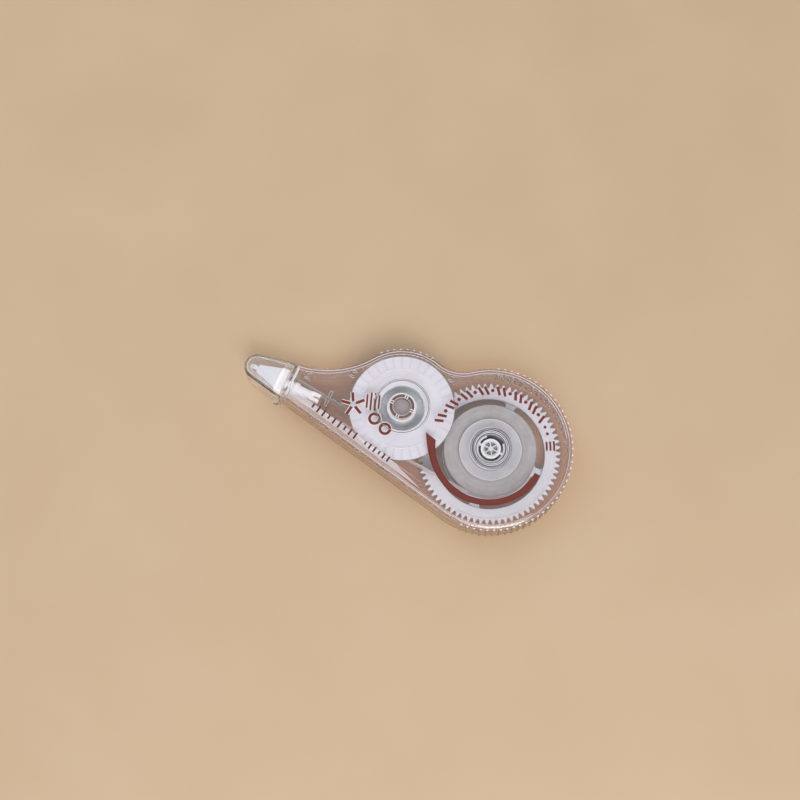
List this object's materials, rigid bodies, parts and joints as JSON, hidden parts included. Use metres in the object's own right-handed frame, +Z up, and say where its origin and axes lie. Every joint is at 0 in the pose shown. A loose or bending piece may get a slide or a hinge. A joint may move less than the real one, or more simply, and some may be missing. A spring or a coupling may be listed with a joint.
{
  "type": "correction tape roller",
  "caption": "Handheld correction tape roller with a clear teardrop case, geared supply and take-up reels, a white applicator head with tip roller and a clear slide-off cap.",
  "frame": {"origin": "supply reel axis on the resting plane, at the outer face of the back case", "axes": "+X from the supply axis towards the take-up axis and the tip, +Y towards the straight edge of the case, +Z up through the thickness, away from the resting face"},
  "size_m": [0.094, 0.0454, 0.013],
  "materials": {
    "clear_shell": "clear, polished, faint lilac tint",
    "clear_cap": "clear, polished",
    "white_plastic": "white, satin",
    "head_plastic": "bright white, smooth",
    "hub_plastic": "milky white, smooth",
    "frosted_plastic": "translucent frosted white",
    "correction_tape": "wound tape edge, light warm grey, satin",
    "tape_film": "thin translucent backing film",
    "pin_steel": "drawn steel pin"
  },
  "bodies": {
    "case": {"back_case": "clear_shell", "front_case": "clear_shell", "supply_axle": "hub_plastic", "feed_tape": "correction_tape", "return_tape": "tape_film"},
    "drive": {"drive_gear": "white_plastic", "clutch_ring": "hub_plastic"},
    "core": {"supply_core": "frosted_plastic", "core_flange": "frosted_plastic", "tape_roll": "correction_tape"},
    "takeup": {"takeup_reel": "white_plastic", "takeup_pinion": "white_plastic", "spent_tape": "tape_film"},
    "head": {"applicator_head": "head_plastic", "roller_pin": "pin_steel", "tip_tape": "correction_tape"},
    "roller": {"tip_roller": "head_plastic"},
    "cap": {"cap": "clear_cap"}
  },
  "joints": [
    {"name": "drive_spin", "type": "hinge", "parent": "case", "child": "drive", "pos_m": [0, 0, 0], "axis": [0, 0, 1], "continuous": true},
    {"name": "core_slip", "type": "hinge", "parent": "drive", "child": "core", "pos_m": [0, 0, 0], "axis": [0, 0, 1], "continuous": true},
    {"name": "takeup_spin", "type": "hinge", "parent": "case", "child": "takeup", "pos_m": [0.02695, 0, 0], "axis": [0, 0, 1], "continuous": true},
    {"name": "head_swivel", "type": "hinge", "parent": "case", "child": "head", "pos_m": [0.0593, 0.007, 0.0065], "axis": [1, 0, 0], "range_deg": [-5, 5]},
    {"name": "roller_spin", "type": "hinge", "parent": "head", "child": "roller", "pos_m": [0.0691, 0.007, 0.0065], "axis": [0, 0, 1], "continuous": true},
    {"name": "cap_slide", "type": "slide", "parent": "case", "child": "cap", "axis": [1, 0, 0], "range_m": [0, 0.03]}
  ],
  "couplings": [
    {"joint": "takeup_spin", "follows": "drive_spin", "ratio": -2.5}
  ]
}
